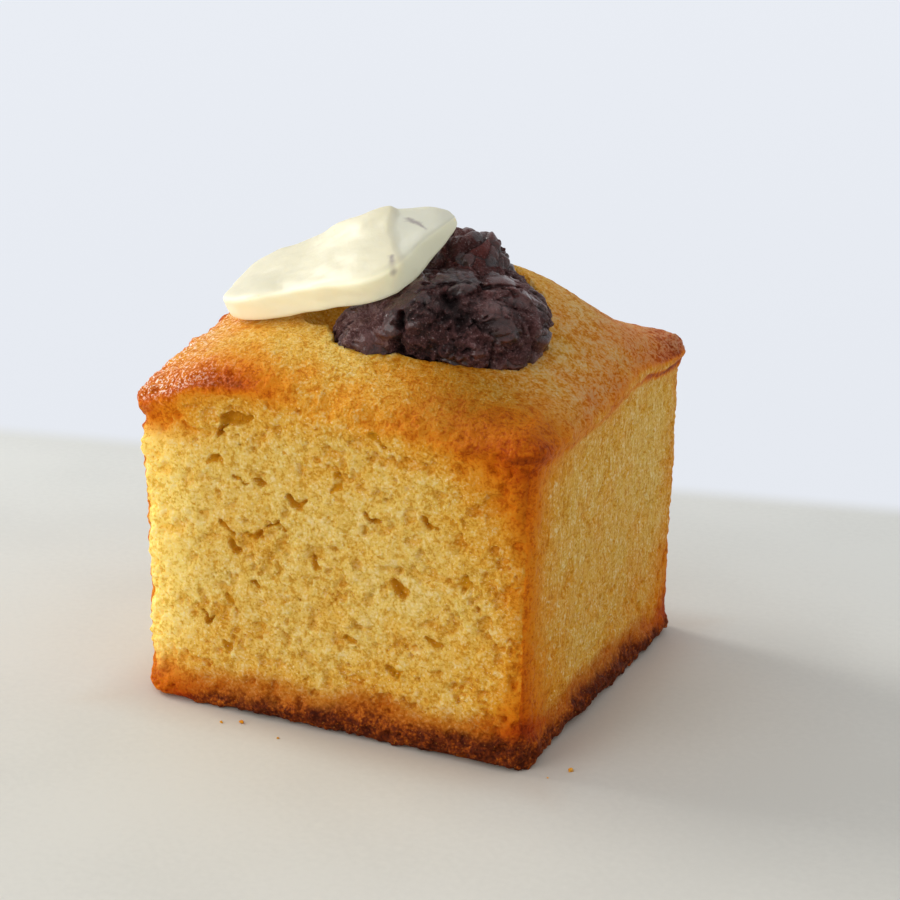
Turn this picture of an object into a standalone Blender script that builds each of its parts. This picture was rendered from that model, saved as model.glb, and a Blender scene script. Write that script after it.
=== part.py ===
"""A small square butter cake with a mound of sweet red bean paste set into its domed top, and a slab of
butter that lies on the crust and leans on the mound. Metres, +Z up, origin under the middle of the base."""

import math

import bmesh
import bpy
import numpy as np

MM = 0.001

# The cake, baked in a square mould
HALF = 25 * MM  # half of its width
SIDE_HEIGHT = 38 * MM  # sides, before the crust's own rise
CRUST_RISE = 1.4 * MM  # rise of the whole top edge
DOME = 8.8 * MM  # how far the middle stands above the edge
UPRIGHT_ROUND, FOOT_ROUND, RIM_ROUND = 2.6 * MM, 1.2 * MM, 2.2 * MM
DRAFT = 0.2 * MM  # how much narrower the foot is than the rim, each side
LIP, LIP_DROP, LIP_DEPTH = 0.9 * MM, 1.8 * MM, 1.6 * MM  # crust hanging over the side
FRONT_LIP_LOSS = 0.6  # share of the lip missing along the middle of the front
FOOT, FOOT_DEPTH = 0.6 * MM, 1.5 * MM  # foot spreading out
LEFT_BULGE = 0.5 * MM  # the left side leans out towards its top
TOP_SHARE = 14 * MM  # depth of the side that follows the rise of the top

# Where the top baked higher or lower: middle (u, v) and spread, as shares of the half width, and the rise
TOP_WAVES = (
    (-0.50, -1.00, 0.45, 0.50, 2.7 * MM),
    (1.00, 0.30, 0.30, 0.35, 1.5 * MM),
    (-1.00, 0.10, 0.45, 0.60, 4.9 * MM),
    (0.00, 1.00, 0.70, 0.45, 0.7 * MM),
    (-1.00, -1.00, 0.25, 0.25, -1.5 * MM),
    (0.41, 0.16, 0.42, 0.50, 4.4 * MM),
    (1.00, 1.00, 0.30, 0.30, 0.8 * MM),
)

# The hollow in the top, and the broken crust at its left, as middles and radii
HOLLOW = ((4.4 * MM, -4.6 * MM, 50.0 * MM), (12.4 * MM, 10.8 * MM, 8.0 * MM))
BROKEN_CRUST = ((-6.6 * MM, -10.2 * MM, 47.6 * MM), (4.4 * MM, 4.6 * MM, 3.4 * MM))

# The bean paste, lobes pressed together round a heart, as middles and radii
HEART = np.array((5.0, -4.5, 47.5)) * MM
LOBES = (
    ((7.2 * MM, -6.8 * MM, 47.2 * MM), (10.6 * MM, 11.3 * MM, 5.9 * MM)),
    ((6.3 * MM, -1.4 * MM, 50.2 * MM), (4.1 * MM, 5.6 * MM, 6.5 * MM)),
    ((8.1 * MM, -1.8 * MM, 51.6 * MM), (3.1 * MM, 3.8 * MM, 3.2 * MM)),
    ((12.4 * MM, -8.8 * MM, 46.5 * MM), (6.9 * MM, 7.2 * MM, 5.3 * MM)),
    ((0.2 * MM, -12.5 * MM, 44.9 * MM), (6.4 * MM, 5.1 * MM, 4.2 * MM)),
)
LOBE_BLEND = 0.6 * MM  # how softly the lobes run together
BEANS, BEAN_LENGTH, BEAN_RISE = 60, (2.6 * MM, 3.6 * MM), 1.1 * MM
BEAN_SINK = 0.75 * MM  # the lobes' own surface lies this far inside them

# The butter's sections: share of its length, the middle's x, y and z, half width and half thickness in
# millimetres, and how far the front edge hangs, in degrees
BUTTER_SECTIONS = (
    (0.00, -20.9, -8.4, 47.3, 4.8, 1.7, 21),
    (0.13, -16.1, -9.5, 48.9, 6.1, 1.9, 23),
    (0.30, -11.0, -9.5, 50.7, 6.2, 2.0, 26),
    (0.48, -6.2, -10.4, 52.6, 6.4, 2.1, 28),
    (0.61, -2.0, -11.1, 53.9, 6.6, 2.1, 27),
    (0.73, 0.9, -9.7, 55.4, 6.1, 2.0, 25),
    (0.84, 2.8, -7.3, 56.8, 3.9, 1.6, 22),
    (0.93, 4.4, -5.3, 57.9, 2.3, 1.2, 22),
    (1.00, 5.5, -4.2, 58.4, 1.1, 0.8, 22),
)
BUTTER_CORNERS = 8.0  # how square the slab's corners are
AXIS_STEP = 0.35  # share of the length over which the slab's direction is taken

GAP = 0.35 * MM  # between the cake and the paste in it
BUTTER_GAP = 0.5 * MM  # under the butter, whose flat facets bridge the lumps below

# Holes in the crumb of the front, as (x, z) and half their length and height
FRONT_HOLES = (
    (-13.5, 35.0, 1.2, 1.0), (-11.0, 36.8, 1.0, 0.7), (-10.0, 28.9, 1.7, 0.6), (-3.3, 28.0, 1.0, 0.8),
    (-9.4, 21.3, 0.8, 1.2), (-13.0, 18.6, 0.9, 0.6), (-6.3, 24.3, 0.9, 0.6), (0.1, 20.9, 0.8, 0.7),
    (5.6, 27.4, 0.8, 0.5), (12.8, 27.7, 1.3, 0.7), (6.2, 37.0, 0.9, 0.6), (9.0, 19.7, 1.4, 0.9),
    (-16.2, 11.4, 0.8, 1.1), (-13.0, 14.4, 0.7, 0.6), (8.4, 9.4, 1.1, 0.7), (13.4, 13.8, 0.7, 0.6),
)
HOLE_DEPTH = 0.9 * MM
SIDE_HOLES, SIDE_HOLE_SIZE = 8, (0.7 * MM, 1.5 * MM)
SEED = 7


def bell(u, v, middle_u, middle_v, spread_u, spread_v):
    return np.exp(-(((u - middle_u) / spread_u) ** 2) - ((v - middle_v) / spread_v) ** 2)


def ease(t):
    t = np.clip(t, 0, 1)
    return t * t * (3 - 2 * t)


def top_rise(x, y):
    """Height of the crust above the sides."""
    u, v = x / HALF, y / HALF
    rise = CRUST_RISE + DOME * np.clip(1 - u * u, 0, 1) * np.clip(1 - v * v, 0, 1)
    for *wave, height in TOP_WAVES:
        rise = rise + height * bell(u, v, *wave)
    return rise


def rounded(inset, drop, radius):
    """Two distances from an edge, pulled onto a quarter circle of the radius."""
    a, b = radius - inset, radius - drop
    near = (a > 0) & (b > 0)
    pull = np.where(near, np.maximum(a, b) / np.maximum(np.hypot(a, b), 1e-9), 1)
    return np.where(near, radius - a * pull, inset), np.where(near, radius - b * pull, drop)


def cake_form(box):
    """Points of a box from -1 to 1 moved onto the baked cake."""
    crowded = np.sin(box * 1.02) / math.sin(1.02)
    x, y = crowded[:, 0] * HALF, crowded[:, 1] * HALF
    z = (crowded[:, 2] + 1) / 2 * SIDE_HEIGHT
    inset = HALF - np.maximum(abs(x), abs(y))
    core = HALF - UPRIGHT_ROUND
    inner_x, inner_y = np.clip(x, -core, core), np.clip(y, -core, core)
    dx, dy = x - inner_x, y - inner_y
    reach = np.hypot(dx, dy)
    pull = np.where(reach > 1e-9, np.maximum(abs(dx), abs(dy)) / np.maximum(reach, 1e-9), 1)
    x, y = inner_x + dx * pull, inner_y + dy * pull
    out_x, out_y = np.where(reach > 1e-9, dx, x), np.where(reach > 1e-9, dy, y)
    length = np.hypot(out_x, out_y) + 1e-12
    out_x, out_y = out_x / length, out_y / length
    foot_inset, z = rounded(inset, z, FOOT_ROUND)
    rim_inset, drop = rounded(foot_inset, SIDE_HEIGHT - z, RIM_ROUND)
    z = SIDE_HEIGHT - drop
    from_corner = 1 - (np.minimum(abs(x), abs(y)) / HALF) ** 2
    lip = LIP * (1 - FRONT_LIP_LOSS * from_corner * np.clip(-out_y, 0, 1))
    lip = lip * np.exp(-(((drop - LIP_DROP) / LIP_DEPTH) ** 2))
    foot = FOOT * np.exp(-(((z - FOOT_DEPTH) / FOOT_DEPTH) ** 2))
    outward = (lip + foot - DRAFT * (1 - z / SIDE_HEIGHT)) * np.clip(1 - rim_inset / (3 * MM), 0, 1)
    outward = outward + inset - rim_inset
    x, y = x + out_x * outward, y + out_y * outward
    x = x - LEFT_BULGE * np.clip(-x / HALF, 0, 1) ** 3 * ease(z / SIDE_HEIGHT)
    z = z + top_rise(x, y) * ease((z - SIDE_HEIGHT + TOP_SHARE) / TOP_SHARE)
    return np.stack([x, y, z], axis=-1)


def bean_seeds():
    """Directions from the paste's heart to its beans, spread evenly and shaken, and each bean's length."""
    rng = np.random.default_rng(SEED)
    step = np.arange(BEANS) + 0.5
    height = 1 - 2 * step / BEANS
    turn = math.pi * (1 + math.sqrt(5)) * step
    flat = np.sqrt(1 - height**2)
    seeds = np.stack([flat * np.cos(turn), flat * np.sin(turn), height], axis=-1)
    seeds += rng.normal(0, 0.09, seeds.shape)
    return seeds / np.linalg.norm(seeds, axis=1, keepdims=True), rng.uniform(*BEAN_LENGTH, BEANS)


def paste_reach(ways):
    """How far the paste reaches from its heart in each direction."""
    total = 0
    for middle, radii in LOBES:
        start, way = (HEART - middle) / np.array(radii), ways / np.array(radii)
        a, b, c = (way * way).sum(-1), (way * start).sum(-1), start @ start - 1
        under = b * b - a * c
        far = np.where(under > 0, (np.sqrt(np.maximum(under, 0)) - b) / a, 0)
        total = total + np.exp(np.maximum(far, 0) / LOBE_BLEND)
    lobes = LOBE_BLEND * np.log(total) - BEAN_SINK
    bean = 0 * lobes
    for seed, size in zip(*bean_seeds()):
        away = np.arccos(np.clip(ways @ seed, -1, 1)) * lobes / size
        bean = np.maximum(bean, BEAN_RISE * np.sqrt(np.clip(1 - away**2, 0, 1)))
    return lobes + bean


def paste_form(box, grow=0.0):
    ways = np.tan(box * math.pi / 4)
    ways /= np.linalg.norm(ways, axis=1, keepdims=True)
    return HEART + ways * (paste_reach(ways) + grow)[:, None]


def smooth_between(share, at, values):
    """A curve through the values that keeps their slopes."""
    slopes = np.gradient(values, at)
    index = np.clip(np.searchsorted(at, share, side="right") - 1, 0, len(at) - 2)
    step = np.diff(at)[index]
    t = (share - np.take(at, index)) / step
    start, end = np.take(values, index), np.take(values, index + 1)
    leave, arrive = slopes[index] * step, slopes[index + 1] * step
    turn = end - start
    return start + t * (leave + t * (3 * turn - 2 * leave - arrive + t * (leave + arrive - 2 * turn)))


def butter_section(share):
    """Middle, half width, half thickness and tilt of the slab at each share of its length."""
    at, *columns = zip(*BUTTER_SECTIONS)
    x, y, z, width, thick, tilt = (smooth_between(share, at, column) for column in columns)
    return np.stack([x, y, z], axis=-1) * MM, width * MM, thick * MM, np.radians(tilt)


def butter_form(box):
    """A thin slab bent along its sections, kept clear of the crust and the paste under it."""
    power = BUTTER_CORNERS
    box = box * (abs(box).max(-1) / (abs(box) ** power).sum(-1) ** (1 / power))[:, None]
    share = (box[:, 0] + 1) / 2
    middle, width, thick, tilt = butter_section(share)
    ahead, behind = (butter_section(np.clip(share + s, 0, 1))[0] for s in (AXIS_STEP, -AXIS_STEP))
    along = (ahead - behind) / np.linalg.norm(ahead - behind, axis=1, keepdims=True)
    across = np.cross((0.0, 0.0, 1.0), along)
    across /= np.linalg.norm(across, axis=1, keepdims=True)
    upward = np.cross(along, across)
    cos, sin = np.cos(tilt)[:, None], np.sin(tilt)[:, None]
    across, upward = across * cos + upward * sin, upward * cos - across * sin
    points = middle + across * (box[:, 1] * width)[:, None] + upward * (box[:, 2] * thick)[:, None]
    ways = points - HEART
    reach = np.linalg.norm(ways, axis=1)
    ways /= reach[:, None]
    points = HEART + ways * np.maximum(reach, paste_reach(ways) + BUTTER_GAP)[:, None]
    floor = SIDE_HEIGHT + top_rise(points[:, 0], points[:, 1]) + BUTTER_GAP
    points[:, 2] = np.maximum(points[:, 2], floor)
    return points


def clear_scene():
    for obj in list(bpy.data.objects):
        bpy.data.objects.remove(obj)


def collection(name):
    made = bpy.data.collections.new(name)
    bpy.context.scene.collection.children.link(made)
    return made


def material(name, color, roughness, metallic=0.0):
    made = bpy.data.materials.new(name)
    made.use_nodes = True
    shader = made.node_tree.nodes["Principled BSDF"]
    shader.inputs["Base Color"].default_value = (*color, 1)
    shader.inputs["Roughness"].default_value = roughness
    shader.inputs["Metallic"].default_value = metallic
    return made


def box_grid(cells):
    """A cube primitive from -1 to 1, cut into cells along X, Y and Z."""
    bm = bmesh.new()
    bmesh.ops.create_cube(bm, size=2)
    for axis, count in enumerate(cells):
        along = [e for e in bm.edges if abs(e.verts[0].co[axis] - e.verts[1].co[axis]) > 1]
        bmesh.ops.subdivide_edges(bm, edges=along, cuts=count - 1, use_grid_fill=True)
    return bm


def formed(bm, form):
    """The mesh with its points moved by the form."""
    points = form(np.array([v.co for v in bm.verts], float))
    for vert, point in zip(bm.verts, points):
        vert.co = point
    bmesh.ops.recalc_face_normals(bm, faces=bm.faces)
    return bm


def add_object(name, bm, into, finish=None):
    mesh = bpy.data.meshes.new(name)
    bm.to_mesh(mesh)
    bm.free()
    obj = bpy.data.objects.new(name, mesh)
    into.objects.link(obj)
    if finish:
        mesh.materials.append(finish)
        mesh.shade_smooth()
    else:
        obj.hide_render = True
        obj.display_type = "WIRE"
    return obj


def ball():
    """A sphere primitive of radius 1 for the hollows and holes."""
    bm = bmesh.new()
    bmesh.ops.create_icosphere(bm, subdivisions=2, radius=1)
    return bm


def add_cutter(name, into, place, radii, tilt=0.0):
    """An egg-shaped cutter, tilted in the plane of the front."""
    cutter = add_object(name, ball(), into)
    cutter.location = place
    cutter.scale = radii
    cutter.rotation_euler = (0, tilt, 0)
    return cutter


def add_crumb_holes(cutters):
    """The larger holes of the crumb, as on the front, and scattered by rule over the other three sides."""
    rng = np.random.default_rng(SEED)
    for number, (x, z, length, height) in enumerate(FRONT_HOLES):
        place = (x * MM, -HALF, z * MM)
        size = (length * MM, HOLE_DEPTH, height * MM)
        add_cutter(f"front_hole_{number}", cutters, place, size, rng.uniform(-0.6, 0.6))
    for side, (way_x, way_y) in enumerate(((1, 0), (0, 1), (-1, 0))):
        for number in range(SIDE_HOLES):
            along = ((number + 0.5) / SIDE_HOLES * 2 - 1) * 0.8 * HALF
            z = rng.uniform(0.15, 0.85) * SIDE_HEIGHT
            length, height = rng.uniform(*SIDE_HOLE_SIZE), SIDE_HOLE_SIZE[0]
            place = (way_x * HALF + way_y * along, way_y * HALF + way_x * along, z)
            size = (HOLE_DEPTH, length, height) if way_x else (length, HOLE_DEPTH, height)
            add_cutter(f"side_hole_{side}_{number}", cutters, place, size)


def flatten_base(bm):
    """One flat face where the cake stands."""
    base = [f for f in bm.faces if all(abs(v.co.z) < 1e-7 for v in f.verts)]
    edges = {e for f in base for e in f.edges if all(g in base for g in e.link_faces)}
    bmesh.ops.dissolve_edges(bm, edges=list(edges), use_verts=True)


def add_cake(parts, cutters):
    bm = formed(box_grid((22, 22, 22)), cake_form)
    flatten_base(bm)
    cake = add_object("cake", bm, parts, material("baked_cake", (0.62, 0.36, 0.07), 0.6))
    add_object("paste_bed", formed(box_grid((16, 16, 16)), lambda p: paste_form(p, GAP)), cutters)
    add_cutter("hollow", cutters, *HOLLOW)
    add_cutter("broken_crust", cutters, *BROKEN_CRUST)
    add_crumb_holes(cutters)
    cut = cake.modifiers.new("hollow_and_holes", "BOOLEAN")
    cut.operation = "DIFFERENCE"
    cut.operand_type = "COLLECTION"
    cut.collection = cutters
    return cake


def main():
    clear_scene()
    parts, cutters = collection("butter_cake"), collection("cutters")
    add_cake(parts, cutters)
    paste = formed(box_grid((16, 16, 16)), paste_form)
    add_object("bean_paste", paste, parts, material("red_bean_paste", (0.045, 0.018, 0.02), 0.45))
    butter = formed(box_grid((22, 12, 3)), butter_form)
    add_object("butter_slab", butter, parts, material("butter", (0.92, 0.87, 0.66), 0.4))


main()
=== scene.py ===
"""The looks of a small butter cake: open crumb, browned crust, a mound of sweet bean paste and a slab of
butter. Metres, +Z up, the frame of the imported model."""

import itertools
import math

import bpy
import numpy as np
from mathutils import Matrix, Vector


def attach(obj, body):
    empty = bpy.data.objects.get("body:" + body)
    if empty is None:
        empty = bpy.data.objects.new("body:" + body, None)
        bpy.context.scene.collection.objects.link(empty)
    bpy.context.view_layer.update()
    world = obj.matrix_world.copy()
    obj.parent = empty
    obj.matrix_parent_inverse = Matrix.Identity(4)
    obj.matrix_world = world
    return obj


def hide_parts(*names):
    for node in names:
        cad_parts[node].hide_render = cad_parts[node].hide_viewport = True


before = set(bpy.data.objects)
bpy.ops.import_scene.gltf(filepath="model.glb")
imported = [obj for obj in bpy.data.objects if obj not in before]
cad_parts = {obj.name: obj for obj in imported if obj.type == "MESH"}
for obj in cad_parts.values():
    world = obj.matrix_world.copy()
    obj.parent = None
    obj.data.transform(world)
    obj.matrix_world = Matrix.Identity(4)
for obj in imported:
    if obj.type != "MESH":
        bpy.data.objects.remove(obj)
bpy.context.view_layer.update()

MM = 0.001

# The cake's own form, with the sizes of its solid
HALF = 25 * MM
SIDE_HEIGHT = 38 * MM
CRUST_RISE = 1.4 * MM
DOME = 8.8 * MM
UPRIGHT_ROUND, FOOT_ROUND, RIM_ROUND = 2.6 * MM, 1.2 * MM, 2.2 * MM
DRAFT = 0.2 * MM
LIP, LIP_DROP, LIP_DEPTH = 0.9 * MM, 1.8 * MM, 1.6 * MM
FRONT_LIP_LOSS = 0.6
FOOT, FOOT_DEPTH = 0.6 * MM, 1.5 * MM
LEFT_BULGE = 0.5 * MM
TOP_SHARE = 14 * MM
TOP_WAVES = (
    (-0.50, -1.00, 0.45, 0.50, 2.7 * MM),
    (1.00, 0.30, 0.30, 0.35, 1.5 * MM),
    (-1.00, 0.10, 0.45, 0.60, 4.9 * MM),
    (0.00, 1.00, 0.70, 0.45, 0.7 * MM),
    (-1.00, -1.00, 0.25, 0.25, -1.5 * MM),
    (0.41, 0.16, 0.42, 0.50, 4.4 * MM),
    (1.00, 1.00, 0.30, 0.30, 0.8 * MM),
)
HOLLOWS = (
    ((4.4 * MM, -4.6 * MM, 50.0 * MM), (12.4 * MM, 10.8 * MM, 8.0 * MM)),
    ((-6.6 * MM, -10.2 * MM, 47.6 * MM), (4.4 * MM, 4.6 * MM, 3.4 * MM)),
)

# The bean paste's lobes round its heart, and its beans
HEART = np.array((5.0, -4.5, 47.5)) * MM
LOBES = (
    ((7.2 * MM, -6.8 * MM, 47.2 * MM), (10.6 * MM, 11.3 * MM, 5.9 * MM)),
    ((6.3 * MM, -1.4 * MM, 50.2 * MM), (4.1 * MM, 5.6 * MM, 6.5 * MM)),
    ((8.1 * MM, -1.8 * MM, 51.6 * MM), (3.1 * MM, 3.8 * MM, 3.2 * MM)),
    ((12.4 * MM, -8.8 * MM, 46.5 * MM), (6.9 * MM, 7.2 * MM, 5.3 * MM)),
    ((0.2 * MM, -12.5 * MM, 44.9 * MM), (6.4 * MM, 5.1 * MM, 4.2 * MM)),
)
LOBE_BLEND = 0.6 * MM
BEANS, BEAN_LENGTH, BEAN_RISE, BEAN_SINK = 60, (2.6 * MM, 3.6 * MM), 1.1 * MM, 0.75 * MM
BEAN_STRAY, PASTE_SEED = 0.09, 7

# The mash between the beans: sizes of its big and small lumps, widths of the seams between them in shares of those
# sizes, and how deep the seams are in millimetres
BIG_LUMPS, SMALL_LUMPS = 5.2 * MM, 2.3 * MM
BIG_SEAM, SMALL_SEAM, SEAM_DEPTH = 0.12, 0.14, 0.7

# The butter's sections: share of its length, middle x, y and z, half width and half thickness in
# millimetres, and how far the front edge hangs, in degrees
BUTTER_SECTIONS = (
    (0.00, -20.9, -8.4, 47.3, 4.8, 1.7, 21),
    (0.13, -16.1, -9.5, 48.9, 6.1, 1.9, 23),
    (0.30, -11.0, -9.5, 50.7, 6.2, 2.0, 26),
    (0.48, -6.2, -10.4, 52.6, 6.4, 2.1, 28),
    (0.61, -2.0, -11.1, 53.9, 6.6, 2.1, 27),
    (0.73, 0.9, -9.7, 55.4, 6.1, 2.0, 25),
    (0.84, 2.8, -7.3, 56.8, 3.9, 1.6, 22),
    (0.93, 4.4, -5.3, 57.9, 2.3, 1.2, 22),
    (1.00, 5.5, -4.2, 58.4, 1.1, 0.8, 22),
)
# How square the slab's edges are, how far along it its direction is measured, and its gap to what it lies on
BUTTER_CORNERS, AXIS_STEP, BUTTER_GAP = 8.0, 0.35, 0.2 * MM

# Tears in the crumb of the front, as both ends (x, z), half width and depth, in millimetres. The back and the left
# have them too, turned about.
TEARS = (
    (-13.6, 36.2, -11.0, 36.6, 0.5, 1.5), (-14.1, 34.6, -13.6, 35.4, 0.37, 1.4), (-11.0, 36.8, -9.8, 37.3, 0.25, 1.0),
    (-12.9, 29.9, -12.2, 29.1, 0.15, 0.8), (-12.2, 29.1, -10.5, 29.2, 0.15, 0.8), (-9.0, 29.4, -8.3, 29.3, 0.37, 1.2),
    (-5.1, 28.0, -4.4, 27.3, 0.22, 1.0), (-4.5, 27.3, -4.0, 27.2, 0.42, 1.1), (-4.0, 27.3, -3.0, 28.0, 0.20, 1.0),
    (-8.2, 24.3, -6.7, 24.8, 0.15, 0.8), (-6.7, 24.8, -5.6, 23.8, 0.19, 0.6),
    (-14.2, 23.9, -12.7, 22.3, 0.25, 0.7), (-12.4, 21.4, -11.9, 20.4, 0.56, 1.1),
    (-9.9, 22.6, -9.0, 22.9, 0.43, 0.9), (-1.8, 21.2, -1.2, 20.2, 0.37, 0.9),
    (5.0, 27.6, 6.4, 27.2, 0.31, 0.9), (12.2, 28.0, 13.6, 27.4, 0.31, 1.0), (5.7, 37.4, 6.8, 36.6, 0.31, 0.6),
    (8.4, 20.2, 9.8, 19.3, 0.68, 1.2), (-16.5, 12.1, -16.0, 10.7, 0.31, 1.4), (-15.8, 10.9, -15.3, 11.2, 0.19, 1.0),
    (-13.2, 14.6, -12.8, 14.0, 0.31, 0.6), (8.0, 9.6, 9.0, 9.1, 0.5, 1.0), (13.0, 14.0, 14.2, 13.4, 0.31, 0.8),
    (-15.6, 31.2, -14.4, 31.4, 0.31, 0.5), (-9.8, 17.2, -9.3, 16.6, 0.37, 0.8), (0.6, 30.2, 1.6, 30.6, 0.37, 0.6),
    (-13.8, 8.3, -13.2, 7.9, 0.5, 0.7), (2.2, 12.4, 3.3, 12.0, 0.31, 0.6), (17.2, 22.6, 17.6, 21.4, 0.43, 0.5),
)

# Small tears everywhere: the share of the scattered cells that stay whole, and the depth
WHOLE_CELLS, SMALL_TEAR_DEPTH = 0.72, 0.6 * MM

# The browned crust: how far it reaches down the sides and round the upright edges, how wide its gritty rim is, and
# how softly each ends
CRUST_DEPTH, CRUST_FADE = 3.2 * MM, 2.6 * MM
UPRIGHT_WIDTH, UPRIGHT_FADE = 2.6 * MM, 2.2 * MM
RIM_WIDTH, RIM_FADE = 2.2 * MM, 2.0 * MM

# The dark foot's height on the front and the right, and how softly it ends
FRONT_FOOT, RIGHT_FOOT, FOOT_FADE = 6.3 * MM, 7.5 * MM, 6 * MM

# The groove under the lip on the right, in millimetres: how far below the rim, half its width and its depth
GROOVE_DROP, GROOVE_WIDTH, GROOVE_DEPTH = 3.0, 0.45, 0.45

# The sides in their order below, and how rough the crumb of each is
RIGHT, BACK, FRONT, LEFT = range(4)
OPEN_CRUMB = (0.40, 0.8, 1.0, 0.6)

# How far the cake is baked, 0 pale and 1 nearly burnt: the top, more at its rim, each side, and more under the rim
TOP_BAKE, RIM_BAKE, SIDE_BAKE = 0.30, 0.24, (0.28, 0.20, 0.14, 0.22)
UNDER_RIM_BAKE = (0.20, 0.28, 0.25, 0.28)
HOLLOW_BAKE = 0.24

# Places baked more or less than the rest, as the share and, in millimetres, the middle and both spreads: of the
# top and its rim seen from above (x, y), of the front (x, z) and of the right (y, z)
TOP_PATCHES = (
    (0.20, 25, -25, 9, 6), (0.08, 13, -20, 9, 4.5), (0.26, 26, 20, 8, 13),
    (0.11, -22, -25, 13, 4), (-0.08, -26, -26, 5, 5), (-0.14, -4, -18, 9, 6),
)
RIM_PATCHES = ((0.12, -12.5, -25, 4.2, 5), (-0.17, 1, -25, 10, 6))
UNDER_RIM_PATCHES = ((-0.08, 5, -25, 9, 4),)
FRONT_PATCHES = ((0.25, -23, 35, 5, 4), (0.20, 25, 38, 8, 12), (0.30, -24, 2, 6.5, 3.8))
RIGHT_PATCHES = ((0.08, -25, 38, 6, 12),)

# Where the crust (x, y) and the front (x, z) take a deeper brown, in the same way
DEEP_CRUST_PATCHES = ((0.88, 16, -20, 7, 5.5),)
DEEP_FRONT_PATCHES = ((0.35, 25, 32, 9, 9),)

# Cracks and hollows in the paste, as both ends (x, y, z), half width and depth, in millimetres
PASTE_CRACKS = (
    (5.0, -17.3, 48.9, 4.3, -15.9, 44.4, 0.55, 1.4),
    (3.2, -15.0, 52.2, 6.7, -13.0, 52.6, 0.35, 0.8), (6.7, -13.0, 52.6, 10.1, -11.4, 52.8, 0.40, 0.8),
    (10.1, -11.4, 52.8, 13.4, -9.6, 52.3, 0.45, 0.9), (13.4, -9.6, 52.3, 15.6, -6.9, 51.5, 0.35, 0.7),
    (12.1, -15.7, 47.3, 13.7, -15.0, 48.6, 0.30, 0.9), (13.7, -15.0, 48.6, 15.4, -12.7, 50.1, 0.30, 0.7),
    (12.9, -16.5, 45.9, 13.4, -16.3, 45.5, 0.50, 1.3), (10.8, -16.2, 48.2, 9.6, -16.4, 45.0, 0.35, 0.8),
    (13.0, -2.4, 51.3, 15.4, -3.5, 50.5, 0.55, 1.0), (15.4, -3.5, 50.5, 17.1, -2.9, 48.9, 0.55, 1.0),
    (10.1, -14.2, 50.6, 11.3, -15.0, 48.8, 1.50, 1.1),
)

# Where the butter is folded, seen from above, as both ends (x, y), how wide the fold is, how far beyond it the
# slab rises again and how deep it is; and the dark streaks on it, paste smeared by the fold and a dark line along a
# dent, each as both ends (x, y, z) and half its width. All in millimetres.
BUTTER_FOLD = ((-0.7, -8.9), (3.2, -15.4))
FOLD_WIDTH, FOLD_REACH, FOLD_DEPTH = 1.4, 3.5, 0.48
BUTTER_SMEARS = (
    (2.5, -14.4, 55.2, 2.9, -15.1, 54.8, 0.40), (2.9, -15.1, 54.8, 3.4, -15.6, 53.6, 0.55),
    (1.1, -7.5, 58.2, 3.0, -8.2, 57.9, 0.30), (3.0, -8.2, 57.9, 4.3, -9.1, 57.7, 0.20),
)

# Crumbs beside the cake, as place (x, y) and half size, in millimetres, and how baked and how crusty they are
CRUMBS = ((-10.0, -27.6, 0.22), (-12.2, -28.6, 0.16), (29.6, -21.8, 0.22), (27.9, -24.6, 0.12), (-4.1, -29.4, 0.12))
CRUMB_BAKE, CRUMB_CRUST = 0.38, 0.3

# The way to the window, and daylight by how directly it comes from there, from -1 on the far side to 1
WINDOW_WAY = (-0.93, 0.20, 0.30)
SKY = (
    (-1.0, (0.74, 0.72, 0.71)),
    (-0.2, (0.66, 0.66, 0.67)),
    (0.2, (0.62, 0.63, 0.66)),
    (0.75, (0.66, 0.67, 0.70)),
    (1.0, (0.90, 0.90, 0.90)),
)

# The lamps: name, place, size, power and colour, and the point that they face
LAMPS = (
    ("window", (-1.15, 0.10, 0.76), 0.6, 9.5, (1.0, 0.98, 0.94)),
    ("fill", (-0.60, -0.88, 0.35), 0.9, 4.8, (1.0, 0.99, 0.97)),
)
LAMP_AIM = (0, 0, 0.03)

# The camera's turn, rise and roll in degrees, how far it is from the cake and from the middle of the base, aside
# and up, and its lens
CAMERA_ANGLES = (24.409, 17.607, 1.262)
CAMERA_AWAY, CAMERA_ASIDE, CAMERA_UP = 271.975 * MM, 3.428 * MM, 27.805 * MM
LENS, SENSOR = 88, 36

# The line where the floor turns pale blue: its distance from the origin, and the direction away from it
FLOOR_EDGE = (75.3 * MM, (-0.2107, 0.9776, 0.0))
FLOOR_REACH = 2.0

# How many random values the noises repeat after, and how crowded the cells are towards the edges of the cake
NOISE_REPEAT, SCATTER_REPEAT, CROWDING = 32, 24, 1.02

# How finely each piece is cut along X, Y and Z, and the most triangles that it keeps
CAKE_CELLS, PASTE_CELLS, BUTTER_CELLS = (300, 300, 250), (130, 130, 130), (220, 110, 30)
CAKE_TRIANGLES, PASTE_TRIANGLES, BUTTER_TRIANGLES = 196000, 150000, 60000


# ---------------------------------------------------------------------------- shapes


def ease(t):
    """0 below 0, 1 above 1, smooth between."""
    t = np.clip(t, 0, 1)
    return t * t * (3 - 2 * t)


def bell(u, v, middle_u, middle_v, spread_u, spread_v):
    """A soft round hill, 1 at its middle and falling off by its two spreads."""
    return np.exp(-(((u - middle_u) / spread_u) ** 2) - ((v - middle_v) / spread_v) ** 2)


def patches(u, v, spots):
    """The sum of soft round patches, each given as its share and, in millimetres, its middle and spreads."""
    return sum(share * bell(u, v, *(size * MM for size in sizes)) for share, *sizes in spots)


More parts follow.
